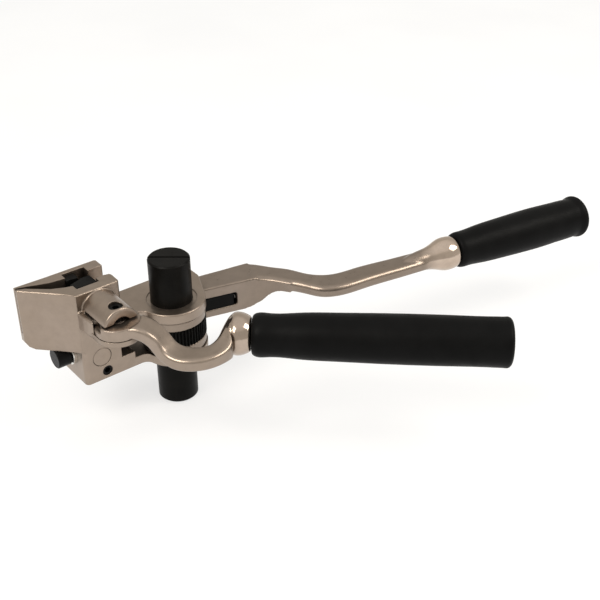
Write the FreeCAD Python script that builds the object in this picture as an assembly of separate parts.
import FreeCAD, Part
import math
import os

# Strapping tensioner: a slotted mandrel winds the steel strap, a ratchet lever
# turns the mandrel, a release plunger holds it, a second lever cuts the strap.
# Frame: origin on the mandrel axis at the ratchet wheel's mid-plane, +Z up the
# mandrel, the nose points to -X, the two handles point to +X and the cutter
# pivot stands off the front face, towards -Y.  All sizes in mm.

os.makedirs("parts", exist_ok=True)
Vector = FreeCAD.Vector
X_AXIS, Y_AXIS, Z_AXIS = (1, 0, 0), (0, 1, 0), (0, 0, 1)

# ---------------------------------------------------------------- shared dimensions
RUN = 0.05                      # radial clearance of a running fit
PRESS = 0.01                    # radial clearance of a fixed fit
MANDREL_R = 12.0
PLATE_IN, PLATE_OUT = 11.55, 17.5   # faces of each neck plate, distance from z = 0
BUSH_R = 14.4
WHEEL_R = 19.0
PAWL_TIP_R = WHEEL_R + 0.14     # both pawls are hollowed to this radius

HEAD_LEFT = -58.909
HEAD_TOP = 41.782
FACE_Y = -1.364                 # front face of head and neck
BACK_Y = 27.164                 # rear face of the head
NOSE_BOTTOM = 4.75
NOSE_SLOT_FLOOR = 13.636
HEAD_SLOT_FLOOR = 17.5
POCKET_LEFT = -35.673           # left wall of the holding pawl's pocket

PIVOT_X, PIVOT_Y = -45.818, -20.291   # cutter lever pivot, a vertical axis
PIVOT_R = 3.0
EYE_R = 12.327
EYE_PLAY = 0.35
EYE_LOW, EYE_HIGH = 25.1, 32.05
LUG_LOW, LUG_HIGH = 22.0, 25.0
CAM_LOW = 28.6                  # cam above this height, a round foot below
HUB_Z, HUB_R, HUB_END = 30.218, 10.473, -25.418
HUB_BORE, HUB_BORE_END = 5.7, 2.5
PLUNGER_Z = 30.1
PLUNGER_STEM_R = 3.1
CROSS_PIN_Y, CROSS_PIN_HOLE = 11.4, 1.0

PLUG_X, PLUG_Z = -47.782, -2.073
GRUB_X, GRUB_Z = -45.382, -12.218
STEM_Y, STEM_Z = 12.545, -1.3   # axis of the holding pawl's stem and knob
BLADE_SCREWS = [(-50.727, 22.5), (-50.727, 34.5)]   # x, z
GRIP_BORE = 5.5


# ---------------------------------------------------------------- solids
def raised(points, z=0.0):
    return [Vector(x, y, z) for x, y in points]


def extrusion(points, direction):
    return Part.Face(Part.makePolygon(points + [points[0]])).extrude(direction)


def prism(points, low, high):
    return extrusion(raised(points, low), Vector(0, 0, high - low))


def box(x0, x1, y0, y1, z0, z1):
    return Part.makeBox(x1 - x0, y1 - y0, z1 - z0, Vector(x0, y0, z0))


def cylinder(radius, start, axis, length):
    return Part.makeCylinder(radius, length, Vector(*start), Vector(*axis))


def pivot_cylinder(radius, low, height):
    return cylinder(radius, (PIVOT_X, PIVOT_Y, low), Z_AXIS, height)


def stem_cylinder(radius, left, length):
    return cylinder(radius, (left, STEM_Y, STEM_Z), X_AXIS, length)


def hexagon(across_flats, start, axis, length):
    axis = Vector(*axis)
    helper = Vector(0, 0, 1) if abs(axis.z) < 0.5 else Vector(1, 0, 0)
    u = axis.cross(helper).normalize()
    w = axis.cross(u).normalize()
    radius = across_flats / 2 / math.cos(math.pi / 6)
    corners = [Vector(*start) + u * (radius * math.cos(k * math.pi / 3))
               + w * (radius * math.sin(k * math.pi / 3)) for k in range(6)]
    return extrusion(corners, axis * length)


def fuse(first, *others):
    return first.multiFuse(list(others)).removeSplitter()


def cut_all(shape, *tools):
    for tool in tools:
        shape = shape.cut(tool)
    return shape


def line_edges(points):
    return [Part.makeLine(a, b) for a, b in zip(points, points[1:])]


def spline_edge(points):
    curve = Part.BSplineCurve()
    curve.interpolate(points)
    return curve.toShape()


def spline_prism(rear, front, low, high):
    """Outline of two splines joined by straight ends, extruded."""
    rear, front = raised(rear, low), raised(front, low)
    edges = [spline_edge(rear), Part.makeLine(rear[-1], front[0]),
             spline_edge(front), Part.makeLine(front[-1], rear[0])]
    return Part.Face(Part.Wire(edges)).extrude(Vector(0, 0, high - low))


def revolve(profile, origin, axis):
    """Turn a spline through (distance along the axis, radius) pairs into a solid."""
    axis = Vector(*axis).normalize()
    origin = Vector(*origin)
    up = Vector(0, 0, 1)
    outward = (up - axis * up.dot(axis)).normalize()
    points = [origin + axis * along + outward * radius for along, radius in profile]
    edges = [spline_edge(points)]
    first, last = origin + axis * profile[0][0], origin + axis * profile[-1][0]
    if points[0].distanceToPoint(first) > 1e-6:
        edges.insert(0, Part.makeLine(first, points[0]))
    if points[-1].distanceToPoint(last) > 1e-6:
        edges.append(Part.makeLine(points[-1], last))
    edges.append(Part.makeLine(last, first))
    solid = Part.Face(Part.Wire(edges)).revolve(origin, axis, 360)
    return solid if solid.Volume > 0 else solid.reversed()


def spring(radius, wire, turns, start, axis, length):
    helix = Part.makeHelix(length / turns, length, radius)
    section = Part.Wire(Part.makeCircle(wire / 2, Vector(radius, 0, 0), Vector(0, 1, 0)))
    coil = Part.Wire(helix.Edges).makePipeShell([section], True, True)
    turn = FreeCAD.Rotation(Vector(0, 0, 1), Vector(*axis))
    coil.Placement = FreeCAD.Placement(Vector(*start), turn)
    return coil


def rounded_section(centre, heading, width, height, corner):
    """Wire of a rounded rectangle, normal to the heading."""
    heading = Vector(heading).normalize()
    side = heading.cross(Vector(0, 0, 1)).normalize()
    up = side.cross(heading).normalize()
    a, b = width / 2 - corner, height / 2 - corner
    bulge = corner * math.sqrt(0.5)
    arcs = []
    for i, (sx, sy) in enumerate([(1, 1), (-1, 1), (-1, -1), (1, -1)]):
        arc = [(a + corner, b), (a + bulge, b + bulge), (a, b + corner)]
        arc = [centre + side * (sx * x) + up * (sy * y) for x, y in arc]
        arcs.append(arc if i % 2 == 0 else arc[::-1])
    edges = []
    for i, arc in enumerate(arcs):
        edges.append(Part.Arc(*arc).toShape())
        edges.append(Part.makeLine(arc[2], arcs[(i + 1) % 4][0]))
    return Part.Wire(edges)


def save(name, shape):
    if shape.ShapeType != "Compound":
        shape = shape.removeSplitter()
    if not shape.isValid():
        shape.fix(1e-4, 1e-5, 1e-3)
    shape.exportStep("parts/%s.step" % name)


# ---------------------------------------------------------------- fillets
def try_fillet(shape, radius, edges):
    # the kernel raises on an edge it cannot round: None then, or for a bad result
    try:
        result = shape.makeFillet(radius, edges)
        if result.isValid() and result.Volume > 0:
            return result
    except Exception:
        pass
    return None


def fillet_where(shape, radius, wanted):
    """Round the wanted edges together, or one by one where that fails."""
    edges = []
    for edge in shape.Edges:
        # an edge without a readable curve raises, and is passed over
        try:
            if wanted(edge):
                edges.append(edge)
        except Exception:
            pass
    if not edges:
        return shape
    result = try_fillet(shape, radius, edges)
    if result is not None:
        return result
    for edge in edges:
        for twin in shape.Edges:
            if (twin.CenterOfMass.distanceToPoint(edge.CenterOfMass) < 1e-4
                    and abs(twin.Length - edge.Length) < 1e-4):
                result = try_fillet(shape, radius, [twin])
                if result is not None:
                    shape = result
                break
    return shape


def upright_near(place, reach):
    """Test for a straight vertical edge within reach of a place in plan."""
    def test(edge):
        if len(edge.Vertexes) != 2 or edge.Curve.TypeId != "Part::GeomLine":
            return False
        a, b = edge.Vertexes[0].Point, edge.Vertexes[1].Point
        if abs(a.x - b.x) > 1e-3 or abs(a.y - b.y) > 1e-3:
            return False
        return math.hypot(a.x - place[0], a.y - place[1]) < reach
    return test


def at_level(edge, z):
    return abs(edge.BoundBox.ZMin - z) < 1e-3 and abs(edge.BoundBox.ZMax - z) < 1e-3


def is_circle(edge):
    return edge.Curve.TypeId == "Part::GeomCircle"


def chamfer_circles(shape, size, wanted=lambda edge: True):
    return shape.makeChamfer(size, [e for e in shape.Edges if is_circle(e) and wanted(e)])


# ---------------------------------------------------------------- frame body
NECK_R = 19.364
NECK_ARC_END = math.radians(342)
NECK_REAR_Y = 24.436
NECK_CORNER = (25.855, NECK_REAR_Y)
# outlines in plan: x, y
NOSE_EDGE = [(-80.727, 23.127), (-61.745, 3.109), (-59.891, 0.655)]
NOSE_X = -54.545                # right end of the nose pieces
HEAD_CORNER = [(-31.636, 25.745), (-33.164, BACK_Y)]
NOSE_REAR = [(-62.291, BACK_Y), (-80.291, 27.709)]
HEAD_LOW = [(HEAD_LEFT, FACE_Y), (-32.182, FACE_Y), (-32.182, NECK_REAR_Y),
            *HEAD_CORNER, (HEAD_LEFT, BACK_Y)]
FRONT_BLOCK = [(HEAD_LEFT, FACE_Y), (-32.291, FACE_Y), (-32.073, 6.0), (-33.164, 8.073),
               (-36.0, 8.836), (-54.764, 9.055), (HEAD_LEFT, 10.364)]
BACK_PLATE = [(-80.291, 26.182), (-74.836, 24.436), (-69.164, 22.255), (-62.4, 19.964),
              (-54.655, 19.091), (-31.636, 18.873), *HEAD_CORNER, *NOSE_REAR]
NOSE_FRONT = [*NOSE_EDGE, (-59.127, -0.655), (HEAD_LEFT, FACE_Y), (NOSE_X, FACE_Y),
              (NOSE_X, 9.055), (-58.255, 10.145), (-65.673, 13.745), (-75.818, 22.473),
              (-80.618, 24.545)]
NOSE_FLOOR = [*NOSE_EDGE, (-57.818, 0.218), (NOSE_X, 0), (NOSE_X, BACK_Y), *NOSE_REAR]
CHEEK = [(HEAD_LEFT, -1.091), (HEAD_LEFT, -7.091), (-58.582, -10.909), (-58.036, -14.182),
         (-57.164, -16.909), (-52.364, -16.909), (-48.0, -8.727), (-48.0, -1.091)]
# lower left corner taken off the nose, seen from the front: x, z
NOSE_CORNER_CUT = [(-82.909, 9.6), (-82.909, 3.273), (-76.582, 3.273), (-76.582, 4.582),
                   (-79.2, 6.109), (-80.945, 9.6)]
CHEEK_TOP = EYE_HIGH - 0.4


def neck():
    start = math.pi + math.asin(-FACE_Y / NECK_R)
    angles = (start, (start + NECK_ARC_END) / 2, NECK_ARC_END)
    arc = raised([(NECK_R * math.cos(a), NECK_R * math.sin(a)) for a in angles], -PLATE_OUT)
    left_front = raised([(HEAD_LEFT, FACE_Y)], -PLATE_OUT)
    tail = raised([(25.745, 10.255), NECK_CORNER, (HEAD_LEFT, NECK_REAR_Y)], -PLATE_OUT)
    edges = [Part.makeLine(left_front[0], arc[0]), Part.Arc(*arc).toShape()]
    edges += line_edges([arc[2]] + tail + left_front)
    shape = Part.Face(Part.Wire(edges)).extrude(Vector(0, 0, 2 * PLATE_OUT))
    shape = fillet_where(shape, 5.0, upright_near((arc[0].x, arc[0].y), 0.6))
    return fillet_where(shape, 6.0, upright_near(NECK_CORNER, 0.6))


def neck_and_head():
    body = fuse(
        neck(),
        prism(HEAD_LOW, -PLATE_OUT, HEAD_SLOT_FLOOR),
        prism(FRONT_BLOCK, HEAD_SLOT_FLOOR - 0.5, HEAD_TOP),
        prism(BACK_PLATE, NOSE_SLOT_FLOOR, HEAD_TOP),
        prism(NOSE_FRONT, NOSE_BOTTOM, HEAD_TOP),
        prism(NOSE_FLOOR, NOSE_BOTTOM, NOSE_SLOT_FLOOR))
    for radius, corner in ((2.6, (HEAD_LEFT, FACE_Y)), (2.0, (-32.291, FACE_Y)),
                           (1.2, (HEAD_LEFT, BACK_Y))):
        body = fillet_where(body, radius, upright_near(corner, 0.3))
    return body


def pivot_lug():
    return fuse(pivot_cylinder(EYE_R, LUG_LOW, LUG_HIGH - LUG_LOW),
                box(PIVOT_X - EYE_R, PIVOT_X + EYE_R, PIVOT_Y, FACE_Y + 1, LUG_LOW, LUG_HIGH))


def plunger_hub():
    left, right = PIVOT_X - 20, PIVOT_X + 20
    hub = cylinder(HUB_R, (PIVOT_X, HUB_END, HUB_Z), Y_AXIS, FACE_Y + 2 - HUB_END)
    # only a crown above the eye remains in front, and nothing below the lug
    return cut_all(hub, box(left, right, HUB_END - 1, -4.6, -40, 33.0),
                   box(left, right, -30, 10, -40, LUG_LOW))


def eye_cheek():
    # room for the eye; on the left the wall steps in to follow the flat of its cam
    room = pivot_cylinder(EYE_R + EYE_PLAY, LUG_HIGH, 20)
    polar = [(a, 9.8) for a in range(131, 148, 4)] + [(147, 20), (131, 20)]
    step = [(PIVOT_X + r * math.cos(math.radians(a)), PIVOT_Y + r * math.sin(math.radians(a)))
            for a, r in polar]
    room = room.cut(prism(step, 29.1, LUG_HIGH + 30))
    return prism(CHEEK, LUG_LOW, CHEEK_TOP).cut(room)


def round_pivot_mount(body):
    # root of the lug, outer top edge of the cheek, end and root of the hub
    body = fillet_where(body, 2.4, lambda e: at_level(e, LUG_LOW)
                        and abs(e.CenterOfMass.y - FACE_Y) < 1e-3 and e.Length > 5)
    body = fillet_where(body, 1.1, lambda e: at_level(e, CHEEK_TOP)
                        and e.CenterOfMass.x < -57.273)
    body = fillet_where(body, 1.2, lambda e: abs(e.CenterOfMass.y - HUB_END) < 0.01
                        and is_circle(e) and abs(e.Curve.Radius - HUB_R) < 0.1)
    return fillet_where(body, 0.8, lambda e: is_circle(e)
                        and abs(e.Curve.Radius - HUB_R) < 0.05
                        and abs(e.CenterOfMass.y - FACE_Y) < 0.4
                        and e.CenterOfMass.z > LUG_LOW)


def frame_openings():
    seat_height = PLATE_OUT - PLATE_IN + 0.02
    tools = [
        # neck cavity for the wheel and the lever yoke, pocket of the holding pawl
        box(-27.273, 40, -60, 60, -PLATE_IN, PLATE_IN),
        box(POCKET_LEFT, -26.182, -20, 19.0, -7.4, 7.4),
        # bush seats
        cylinder(BUSH_R, (0, 0, PLATE_IN - 0.01), Z_AXIS, seat_height),
        cylinder(BUSH_R, (0, 0, -PLATE_OUT - 0.01), Z_AXIS, seat_height),
        # plunger bores and the pockets of the moving and fixed blade
        cylinder(HUB_BORE, (PIVOT_X, HUB_END - 1, PLUNGER_Z), Y_AXIS,
                 HUB_BORE_END - HUB_END + 1),
        cylinder(PLUNGER_STEM_R, (PIVOT_X, 0, PLUNGER_Z), Y_AXIS, 12),
        box(-54.655, -41.018, 4.855, 10.473, HEAD_SLOT_FLOOR, HEAD_TOP + 1),
        box(-54.109, -40.582, 18.545, 23.673, HEAD_SLOT_FLOOR, HEAD_TOP + 1),
        # pivot screw: bore through the lug, counterbore in the crown
        pivot_cylinder(PIVOT_R + RUN, LUG_LOW - 1, 30),
        pivot_cylinder(3.9, 36.6, 10),
        # plug and grub screw in the front face
        cylinder(5.75, (PLUG_X, FACE_Y - 1, PLUG_Z), Y_AXIS, 6.0),
        cylinder(3.1, (GRUB_X, FACE_Y - 1, GRUB_Z), Y_AXIS, 11.0),
        # guide, stem and flange of the holding pawl
        stem_cylinder(5.0, HEAD_LEFT - 1, 8.0),
        stem_cylinder(3.3, HEAD_LEFT - 1, 40.0),
        stem_cylinder(6.9, HEAD_LEFT - 3.0, 3.0)]
    for x, z in BLADE_SCREWS:
        tools.append(cylinder(1.55, (x, 21.818, z), Y_AXIS, 12))
        tools.append(cylinder(2.9, (x, BACK_Y - 2.6, z), Y_AXIS, 5))
    tools.append(extrusion([Vector(x, 0, z) for x, z in NOSE_CORNER_CUT], Vector(0, 40, 0)))
    return tools


def on_soft_rim(edge):
    # top edges along the front, the rear and the outer side of the nose
    x, y = edge.CenterOfMass.x, edge.CenterOfMass.y
    return at_level(edge, HEAD_TOP) and y < 28.364 and (
        y < 0 or y > 26.182 or (x < -61.091 and y < -55.182 - x))


def on_neck_rim(edge):
    # long front edges on the outer faces of the neck plates
    bounds, centre = edge.BoundBox, edge.CenterOfMass
    return (abs(abs(bounds.ZMin) - PLATE_OUT) < 1e-3 and abs(bounds.ZMax - bounds.ZMin) < 1e-3
            and centre.y < 3 and edge.Length > 12 and math.hypot(centre.x, centre.y) > 14)


def frame_body():
    body = fuse(neck_and_head(), pivot_lug(), eye_cheek(), plunger_hub())
    body = round_pivot_mount(body)
    # long slanting top edge of the nose
    body = fillet_where(body, 0.8, lambda e: at_level(e, HEAD_TOP) and e.Length > 15
                        and e.CenterOfMass.x < -61.091 and e.CenterOfMass.y < 17.455)
    body = cut_all(body, *frame_openings())
    body = fillet_where(body, 0.9, on_soft_rim)
    return fillet_where(body, 0.8, on_neck_rim)


# ---------------------------------------------------------------- bushes
BUSH_SHORT = 0.4                # a bush is this much shorter than its seat


def bush(low):
    ring = cylinder(BUSH_R, (0, 0, low), Z_AXIS, PLATE_OUT - PLATE_IN - BUSH_SHORT)
    return ring.cut(cylinder(MANDREL_R + RUN, (0, 0, low - 1), Z_AXIS, 10))


def upper_bush():
    return bush(PLATE_IN)


def lower_bush():
    return bush(-PLATE_OUT + BUSH_SHORT)


# ---------------------------------------------------------------- mandrel group
MANDREL_TOP, MANDREL_BOTTOM = 44.0, -48.9
DRIVE_END_R = 11.75             # lower end, below the collar
STRAP_SLOT, STRAP_SLOT_FLOOR = 1.4, 18.2
STRAP_SLOT_ANGLE = -38.8        # direction of the strap slot at rest, degrees
WHEEL_ROOT = 17.9
WHEEL_TEETH = 60
WHEEL_HALF = 5.4                # half the wheel's thickness
KEY_W, KEY_D = 4.0, 2.0         # keyway width, and depth in the mandrel and in the wheel
COLLAR_R, COLLAR_H = 14.1, 4.0
COLLAR_LOW = -21.7
COLLAR_SCREW_Z = COLLAR_LOW + COLLAR_H / 2


def mandrel():
    shaft = fuse(cylinder(DRIVE_END_R, (0, 0, MANDREL_BOTTOM), Z_AXIS, 30),
                 cylinder(MANDREL_R, (0, 0, COLLAR_LOW), Z_AXIS, MANDREL_TOP - COLLAR_LOW))
    shaft = chamfer_circles(shaft, 0.8, lambda e: abs(e.CenterOfMass.z) > 40)
    slot = box(-20, 20, -STRAP_SLOT / 2, STRAP_SLOT / 2, STRAP_SLOT_FLOOR, MANDREL_TOP + 1)
    slot.rotate(Vector(0, 0, 0), Vector(0, 0, 1), STRAP_SLOT_ANGLE)
    keyway = box(MANDREL_R - KEY_D, MANDREL_R + 2, -KEY_W / 2, KEY_W / 2,
                 -WHEEL_HALF, WHEEL_HALF)
    dimple = cylinder(2.05, (-MANDREL_R - 1, 0, COLLAR_SCREW_Z), X_AXIS, 3.0)
    return cut_all(shaft, slot, keyway, dimple)


def ratchet_wheel():
    outline = []
    pitch = 2 * math.pi / WHEEL_TEETH
    for k in range(WHEEL_TEETH):
        for radius, share in ((WHEEL_ROOT, 0), (WHEEL_R, 0.12), (WHEEL_R, 0.26)):
            angle = (k + share) * pitch
            outline.append((radius * math.cos(angle), radius * math.sin(angle)))
    return cut_all(prism(outline, -WHEEL_HALF, WHEEL_HALF),
                   cylinder(MANDREL_R + PRESS, (0, 0, -10), Z_AXIS, 20),
                   box(MANDREL_R - 1, MANDREL_R + KEY_D, -KEY_W / 2, KEY_W / 2,
                       -WHEEL_HALF - 1, WHEEL_HALF + 1))


def wheel_key():
    half_width, half_length = KEY_W / 2 - PRESS, WHEEL_HALF - 0.1
    return box(MANDREL_R - KEY_D + 0.02, MANDREL_R + KEY_D - 0.05,
               -half_width, half_width, -half_length, half_length)


def retaining_collar():
    collar = chamfer_circles(cylinder(COLLAR_R, (0, 0, COLLAR_LOW), Z_AXIS, COLLAR_H), 0.4)
    return cut_all(collar, cylinder(MANDREL_R + PRESS, (0, 0, -25), Z_AXIS, 10),
                   cylinder(1.55, (-20, 0, COLLAR_SCREW_Z), X_AXIS, 12))


def collar_set_screw():
    screw = cylinder(1.52, (-COLLAR_R + 0.3, 0, COLLAR_SCREW_Z), X_AXIS, 3.4)
    return screw.cut(hexagon(1.5, (-COLLAR_R + 0.2, 0, COLLAR_SCREW_Z), X_AXIS, 1.2))


# ---------------------------------------------------------------- ratchet lever
RING_R = 18.75                  # two yoke rings, one above and one below the wheel
RING_IN, RING_OUT = 5.5, 11.45
BLOCK_LOW = -8.727
ARM_LOW = 3.709
# outlines in plan: x, y
BLOCK = [(10.364, 6.982), (15.273, 5.782), (56.727, -4.909), (63.382, 13.527),
         (31.309, 19.091), (22.364, 19.964), (15.273, 18.982), (7.636, 17.018)]
ARM_REAR = [(54.545, 15.055), (62.945, 13.745), (72.545, 1.745), (79.636, -7.527),
            (85.309, -18.982), (94.473, -27.273), (110.836, -30.873), (130.909, -35.236),
            (150.545, -39.6), (162.545, -42.218)]
ARM_FRONT = [(160.145, -56.291), (148.364, -54.327), (130.036, -51.164), (108.0, -47.345),
             (88.145, -43.636), (79.2, -37.745), (73.418, -27.491), (66.218, -16.364),
             (56.509, -4.855), (51.273, -3.491)]
BLEND_REAR = [(50.182, 15.818), (62.945, 13.745), (72.545, 1.745), (77.455, -4.8)]
BLEND_FRONT = [(69.818, -21.818), (66.218, -16.364), (56.509, -4.855), (48.0, -2.727)]
# underside rising from block to arm: x, z
RAMP = [(49.091, BLOCK_LOW - 0.05), (52.909, -8.2), (56.509, -7.0), (60.0, -3.8),
        (62.727, 0.4), (65.236, 2.9), (68.727, ARM_LOW)]
RAMP_BELOW = [RAMP[-1], (87.273, ARM_LOW), (87.273, -20), (RAMP[0][0], -20), RAMP[0]]
# handle axis of the ratchet lever
REAR_HEADING, REAR_RISE = math.radians(-11.07), math.radians(0.55)
REAR_AXIS = Vector(math.cos(REAR_HEADING) * math.cos(REAR_RISE),
                   math.sin(REAR_HEADING) * math.cos(REAR_RISE), math.sin(REAR_RISE))
REAR_ORIGIN = Vector(141.764, -46.036, 8.345)
# distance along the axis, radius
FERRULE = [(-4, 2.8), (0, 4.4), (6, 5.8), (12, 6.6), (16.5, 7.4), (21.5, 9.0), (25.5, 10.3),
           (28.5, 10.6), (31.0, 10.5), (33.2, 10.1), (34.2, 9.6), (34.5, 9.1)]
# drive pawl channel in the block: places are given along and across its axis
BLOCK_ANGLE = math.radians(-13.0)
CHANNEL_AXIS = (math.cos(BLOCK_ANGLE), math.sin(BLOCK_ANGLE), 0)
CHANNEL_END = 43.5
CHANNEL_FRONT, CHANNEL_REAR = 7.0, 16.0
CHANNEL_LOW, CHANNEL_HIGH = -3.9, 4.35
CHANNEL_PLAY = 0.06
PAWL_ACROSS, PAWL_Z = 12.6, 0.2  # axis of the drive pawl's spring
PIN_ALONG = 50.0


def block_point(along, across):
    ux, uy, _ = CHANNEL_AXIS
    return (ux * along - uy * across, uy * along + ux * across)


def pawl_axis_point(along, z=PAWL_Z):
    return (*block_point(along, PAWL_ACROSS), z)


def ramp_space():
    curve = [Vector(x, -25, z) for x, z in RAMP]
    below = [Vector(x, -25, z) for x, z in RAMP_BELOW]
    wire = Part.Wire([spline_edge(curve)] + line_edges(below))
    return Part.Face(wire).extrude(Vector(0, 60, 0))


def ratchet_lever():
    ring_height = RING_OUT - RING_IN
    rings = fuse(cylinder(RING_R, (0, 0, RING_IN), Z_AXIS, ring_height),
                 cylinder(RING_R, (0, 0, -RING_OUT), Z_AXIS, ring_height))
    block = prism(BLOCK, BLOCK_LOW, RING_OUT)
    block = block.cut(cylinder(RING_R + 0.001, (0, 0, -RING_IN), Z_AXIS, 2 * RING_IN))
    ramp = ramp_space()
    arm = spline_prism(ARM_REAR, ARM_FRONT, ARM_LOW, RING_OUT)
    arm = fillet_where(arm, 3.1, lambda e: e.Curve.TypeId == "Part::GeomBSplineCurve")
    blend = spline_prism(BLEND_REAR, BLEND_FRONT, BLOCK_LOW, RING_OUT - 1).cut(ramp)
    ferrule = revolve(FERRULE, REAR_ORIGIN, REAR_AXIS)
    tang = cylinder(GRIP_BORE, REAR_ORIGIN + REAR_AXIS * 20, REAR_AXIS, 85)
    lever = fuse(rings, block.cut(ramp), blend, arm, ferrule, tang)
    channel = prism([block_point(17.5, CHANNEL_FRONT), block_point(CHANNEL_END, CHANNEL_FRONT),
                     block_point(CHANNEL_END, CHANNEL_REAR), block_point(17.5, CHANNEL_REAR)],
                    CHANNEL_LOW, CHANNEL_HIGH)
    return cut_all(
        lever,
        cylinder(WHEEL_R + 0.35, (0, 0, -RING_IN), Z_AXIS, 2 * RING_IN),
        cylinder(MANDREL_R + RUN, (0, 0, -20), Z_AXIS, 40),
        channel,
        cylinder(2.4, pawl_axis_point(CHANNEL_END - 1), CHANNEL_AXIS, 9.5),
        cylinder(1.5, pawl_axis_point(PIN_ALONG, -12), Z_AXIS, 21.6))


def drive_pawl():
    front, rear = CHANNEL_FRONT + 2.0, CHANNEL_REAR - CHANNEL_PLAY
    pawl = prism([block_point(20.6, front), block_point(41.4, front),
                  block_point(41.4, rear), block_point(17.6, rear)],
                 CHANNEL_LOW + CHANNEL_PLAY, CHANNEL_HIGH - CHANNEL_PLAY)
    return cut_all(pawl, cylinder(PAWL_TIP_R, (0, 0, -10), Z_AXIS, 20),
                   cylinder(2.3, pawl_axis_point(30.5), CHANNEL_AXIS, 12))


def drive_pawl_spring():
    return spring(radius=1.65, wire=0.7, turns=11, start=pawl_axis_point(30.9),
                  axis=CHANNEL_AXIS, length=15.2)


def spring_seat():
    return cylinder(2.35, pawl_axis_point(46.6), CHANNEL_AXIS, 1.6)


def spring_pin():
    return cylinder(1.48, pawl_axis_point(PIN_ALONG, BLOCK_LOW + 0.3), Z_AXIS, 17.5)


# ---------------------------------------------------------------- grips
def grip(origin, axis, length, bore_length, neck_r, waist, mid, end):
    """Turned handle; neck_r, mid, waist and end are its radii from the lever outwards."""
    swell = mid - neck_r
    profile = [(0, neck_r - 1.7), (0.35, neck_r - 0.8), (1.4, neck_r)]
    profile += [(along * length, neck_r + share * swell) for along, share in
                ((0.06, 0.2), (0.18, 0.48), (0.32, 0.74), (0.48, 0.92))]
    profile += [(0.64 * length, mid), (0.80 * length, 0.4 * mid + 0.6 * waist),
                (0.90 * length, waist), (length - 6.5, waist + 0.1),
                (length - 4.2, end - 0.05), (length - 2.4, end), (length - 0.9, end - 0.9),
                (length - 0.15, end - 2.3), (length, end - 3.8)]
    bore = cylinder(GRIP_BORE + 0.02, origin - axis, axis, bore_length)
    return revolve(profile, origin, axis).cut(bore)


def rear_grip():
    return grip(REAR_ORIGIN + REAR_AXIS * 35.2, REAR_AXIS, length=100.155, bore_length=72.0,
                neck_r=10.8, waist=12.8, mid=13.4, end=13.7)


# ---------------------------------------------------------------- cutter lever
CAM_RATE = 4.7                  # blade travel per radian of cutter lever
CAM_START, CAM_END = 75, 126    # degrees
CUTTER_HEADING = -41.94
CUTTER_AXIS = Vector(math.cos(math.radians(CUTTER_HEADING)),
                     math.sin(math.radians(CUTTER_HEADING)), 0)
CUTTER_ORIGIN = Vector(7.091, -47.455, 14.4)
PIVOT_BUSH_R = 4.5
ARM_CORNER = 2.3
# stations of the arm: centre x, y, z, width, height
ARM_STATIONS = [
    (-42.545, -24.545, 28.691, 16.364, 7.2),
    (-39.273, -29.455, 29.127, 15.818, 7.418),
    (-35.782, -34.036, 27.491, 14.836, 7.636),
    (-32.945, -37.636, 23.891, 13.964, 7.745),
    (-30.873, -41.127, 19.091, 13.309, 7.745),
    (-28.8, -45.818, 15.6, 13.964, 7.636),
    (-24.655, -51.818, 14.291, 14.836, 7.636),
    (-19.636, -55.855, 14.182, 14.182, 7.636),
    (-14.509, -57.927, 14.182, 12.873, 7.855)]
# flare into the handle: centre x, y, z, width, height, heading in degrees, corner radius
FLARE_STATIONS = [
    (-9.055, -58.255, 14.182, 11.891, 8.509, 4, 2.4),
    (-3.927, -56.945, 14.4, 12.109, 10.255, 3, 2.8),
    (-0.218, -54.655, 14.618, 13.309, 13.309, -6, 3.7),
    (2.836, -51.818, 14.727, 15.273, 16.582, -20, 5.2),
    (5.345, -49.309, 14.727, 18.327, 19.418, -34, 7.6),
    (8.182, -47.891, 14.727, 20.291, 20.509, CUTTER_HEADING, 9.2)]
# distance along the axis, radius
BULB = [(0.0, 0), (0.05, 4.0), (0.25, 8.6), (0.9, 10.8), (2.4, 11.8), (4.6, 12.05),
        (6.8, 11.7), (8.8, 11.0), (10.4, 10.2), (11.3, 9.6), (11.6, 9.0)]


def cam_support(angle):
    """Distance from the pivot to the cam's tangent line at an angle in degrees."""
    return EYE_R + CAM_RATE * math.radians(90 - angle)


def cam_eye():
    def add_round(radius, degrees):
        a = math.radians(degrees)
        outline.append((PIVOT_X + radius * math.cos(a), PIVOT_Y + radius * math.sin(a)))

    outline = []
    for k in range(73):
        add_round(EYE_R, 195 + k * 210 / 72.0)
    for k in range(21):
        angle = CAM_START + k * (CAM_END - CAM_START) / 20.0
        a, reach = math.radians(angle), cam_support(angle)
        outline.append((PIVOT_X + reach * math.cos(a) + CAM_RATE * math.sin(a),
                        PIVOT_Y + reach * math.sin(a) - CAM_RATE * math.cos(a)))
    for k in range(10):
        add_round(cam_support(CAM_END), 128 + k * 6)
    return fuse(prism(outline, CAM_LOW, EYE_HIGH),
                pivot_cylinder(EYE_R, EYE_LOW, CAM_LOW - EYE_LOW + 0.2))


def cutter_arm():
    centres = [Vector(*row[:3]) for row in ARM_STATIONS + FLARE_STATIONS[:1]]
    sections = []
    for i, (_, _, _, width, height) in enumerate(ARM_STATIONS):
        heading = centres[i + 1] - centres[max(i - 1, 0)]
        sections.append(rounded_section(centres[i], heading, width, height, ARM_CORNER))
    for x, y, z, width, height, degrees, corner in FLARE_STATIONS:
        a = math.radians(degrees)
        heading = Vector(math.cos(a), math.sin(a), 0)
        sections.append(rounded_section(Vector(x, y, z), heading, width, height, corner))
    arm = Part.makeLoft(sections, True, False)
    if arm.Volume < 0:
        arm.reverse()
    # keep clear of the hub above the eye, the lug below it and the frame behind
    return cut_all(arm, pivot_cylinder(EYE_R + EYE_PLAY, EYE_HIGH, 20),
                   pivot_cylinder(EYE_R + EYE_PLAY, 0, EYE_LOW),
                   box(PIVOT_X - 30, PIVOT_X + 2, PIVOT_Y + 2, 0, 0, 60))


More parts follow.
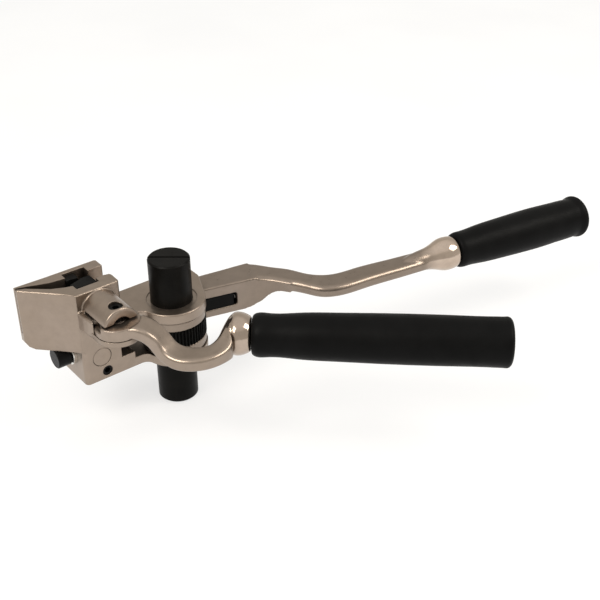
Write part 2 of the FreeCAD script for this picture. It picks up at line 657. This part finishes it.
def cutter_lever():
    bulb = revolve(BULB, CUTTER_ORIGIN + Vector(0, 0, 0.4), CUTTER_AXIS)
    tang = cylinder(GRIP_BORE, CUTTER_ORIGIN + CUTTER_AXIS * 3, CUTTER_AXIS, 99)
    lever = fuse(cam_eye(), cutter_arm(), bulb, tang)
    return lever.cut(pivot_cylinder(PIVOT_BUSH_R, 10, 40))


def pivot_bush():
    sleeve = pivot_cylinder(PIVOT_BUSH_R - 0.02, EYE_LOW, EYE_HIGH - EYE_LOW)
    return sleeve.cut(pivot_cylinder(PIVOT_R + RUN, 10, 40))


def cutter_grip():
    return grip(CUTTER_ORIGIN + CUTTER_AXIS * 12.1, CUTTER_AXIS, length=140.182,
                bore_length=92.2, neck_r=11.6, waist=13.75, mid=13.95, end=13.95)


def pivot_screw():
    screw = fuse(pivot_cylinder(PIVOT_R, LUG_LOW + 0.1, 15.5),
                 pivot_cylinder(3.85, 36.65, 2.7))
    return screw.cut(hexagon(3.4, (PIVOT_X, PIVOT_Y, 37.3), Z_AXIS, 4))


# ---------------------------------------------------------------- plunger and blades
PLUNGER_FACE = PIVOT_Y + EYE_R + 0.30
PLUNGER_END = 14.2
BLADE_LEFT, BLADE_RIGHT = -54.545, -41.127
BLADE_SPLIT = -47.345           # right end of the fixed blade
FIXED_EDGE = 17.345             # front of the fixed blade
MOVING_TIP = FIXED_EDGE - 1.0


def cross_pin_hole():
    return cylinder(CROSS_PIN_HOLE, (PIVOT_X - 10, CROSS_PIN_Y, PLUNGER_Z), X_AXIS, 20)


def blade_plunger():
    stem_start = PLUNGER_FACE + 3.0
    plunger = fuse(
        cylinder(HUB_BORE - RUN, (PIVOT_X, PLUNGER_FACE, PLUNGER_Z), Y_AXIS, 3.6),
        cylinder(PLUNGER_STEM_R - RUN, (PIVOT_X, stem_start, PLUNGER_Z), Y_AXIS,
                 PLUNGER_END - stem_start))
    # the lower half of its face is stepped back over the round foot of the eye
    step = box(PIVOT_X - 10, PIVOT_X + 10, PLUNGER_FACE - 1, PLUNGER_FACE + 3.35,
               20, CAM_LOW + 0.45)
    return cut_all(plunger, cross_pin_hole(), step)


def blade_return_spring():
    seat = PIVOT_Y + EYE_R + 0.12
    return spring(radius=4.35, wire=0.9, turns=4.2, start=(PIVOT_X, seat + 4.35, PLUNGER_Z),
                  axis=Y_AXIS, length=HUB_BORE_END - seat - 5.15)


def moving_blade():
    notch_x = BLADE_SPLIT + 0.15
    blade = prism([(BLADE_LEFT, 8.0), (BLADE_RIGHT, 8.0), (BLADE_RIGHT, MOVING_TIP),
                   (notch_x, MOVING_TIP), (notch_x, MOVING_TIP - 0.6),
                   (BLADE_LEFT + 3, MOVING_TIP - 2.0), (BLADE_LEFT, MOVING_TIP - 3.2)],
                  HEAD_SLOT_FLOOR + 0.1, HEAD_TOP - 1.7)
    bore = cylinder(PLUNGER_STEM_R - RUN + 0.02, (PIVOT_X, 5, PLUNGER_Z), Y_AXIS, 9.4)
    return cut_all(blade, bore, cross_pin_hole())


def blade_cross_pin():
    return cylinder(CROSS_PIN_HOLE - 0.02, (BLADE_LEFT + 0.8, CROSS_PIN_Y, PLUNGER_Z), X_AXIS,
                    BLADE_RIGHT - BLADE_LEFT - 1.6)


def fixed_blade():
    blade = prism([(-54.0, 17.5), (-54.0, 23.564), (BLADE_SPLIT, 23.564),
                   (BLADE_SPLIT, FIXED_EDGE), (BLADE_SPLIT - 2.4, FIXED_EDGE),
                   (BLADE_SPLIT - 4.2, 18.0)], HEAD_SLOT_FLOOR + 0.05, HEAD_TOP - 1.4)
    return cut_all(blade, *[cylinder(1.55, (x, 21.818, z), Y_AXIS, 12)
                            for x, z in BLADE_SCREWS])


def fixed_blade_screws():
    screws = []
    tip = 22.036
    for x, z in BLADE_SCREWS:
        screw = fuse(cylinder(1.5, (x, tip, z), Y_AXIS, BACK_Y - 2.5 - tip),
                     cylinder(2.8, (x, BACK_Y - 2.55, z), Y_AXIS, 2.2))
        screws.append(screw.cut(hexagon(2.0, (x, BACK_Y - 1.4, z), Y_AXIS, 3)))
    return Part.makeCompound(screws)


# ---------------------------------------------------------------- front face fittings
def guide_plug():
    front = FACE_Y + 0.05
    plug = cylinder(5.7, (PLUG_X, front, PLUG_Z), Y_AXIS, 4.8)
    return chamfer_circles(plug, 0.3, lambda e: abs(e.CenterOfMass.y - front) < 0.01)


def side_grub_screw():
    screw = cylinder(3.05, (GRUB_X, FACE_Y + 0.5, GRUB_Z), Y_AXIS, 9.0)
    return screw.cut(hexagon(3.2, (GRUB_X, FACE_Y, GRUB_Z), Y_AXIS, 3.2))


# ---------------------------------------------------------------- holding pawl
STEM_R = 3.0
PAWL_LEFT = -30.6
KNOB_LEFT = -69.8
KNOB_PIN_X = -65.5
KNOB_PIN_HOLE = 1.0


def knob_pin_hole():
    return cylinder(KNOB_PIN_HOLE, (KNOB_PIN_X, STEM_Y, -20), Z_AXIS, 40)


def plunger_guide():
    guide = fuse(stem_cylinder(6.6, HEAD_LEFT - 2.4, 2.4),
                 stem_cylinder(4.98, HEAD_LEFT - 0.2, 7.0))
    return guide.cut(stem_cylinder(STEM_R + RUN, HEAD_LEFT - 5, 20))


def holding_pawl():
    pawl = cut_all(box(PAWL_LEFT, -11.0, 6.9, 18.9, -5.3, 5.3),
                   prism([(-20, 30), (-5, 30), (-5, 16.0), (-15.2, 16.0)], -10, 10),
                   cylinder(PAWL_TIP_R, (0, 0, -10), Z_AXIS, 20),
                   box(PAWL_LEFT - 0.1, -26, 6, 9.0, -8, 8))
    return fuse(pawl, stem_cylinder(STEM_R, -68.3, 38.9)).cut(knob_pin_hole())


def holding_pawl_spring():
    return spring(radius=3.95, wire=0.9, turns=2.6,
                  start=(POCKET_LEFT + 0.55, STEM_Y, STEM_Z), axis=X_AXIS,
                  length=PAWL_LEFT - POCKET_LEFT - 1.1)


def release_knob():
    knob = chamfer_circles(stem_cylinder(5.9, KNOB_LEFT, 8.1), 0.5)
    return cut_all(knob, stem_cylinder(STEM_R + PRESS, KNOB_LEFT + 1.4, 20), knob_pin_hole())


def knob_pin():
    return cylinder(KNOB_PIN_HOLE - 0.02, (KNOB_PIN_X, STEM_Y, STEM_Z - 5.6), Z_AXIS, 11.2)


# each piece is saved under the name of its function
for build in (frame_body, upper_bush, lower_bush, mandrel, ratchet_wheel, wheel_key,
              retaining_collar, collar_set_screw, ratchet_lever, drive_pawl,
              drive_pawl_spring, spring_seat, spring_pin, rear_grip, cutter_lever,
              pivot_bush, cutter_grip, pivot_screw, blade_plunger, blade_return_spring,
              moving_blade, blade_cross_pin, fixed_blade, fixed_blade_screws, guide_plug,
              side_grub_screw, plunger_guide, holding_pawl, holding_pawl_spring,
              release_knob, knob_pin):
    save(build.__name__, build())
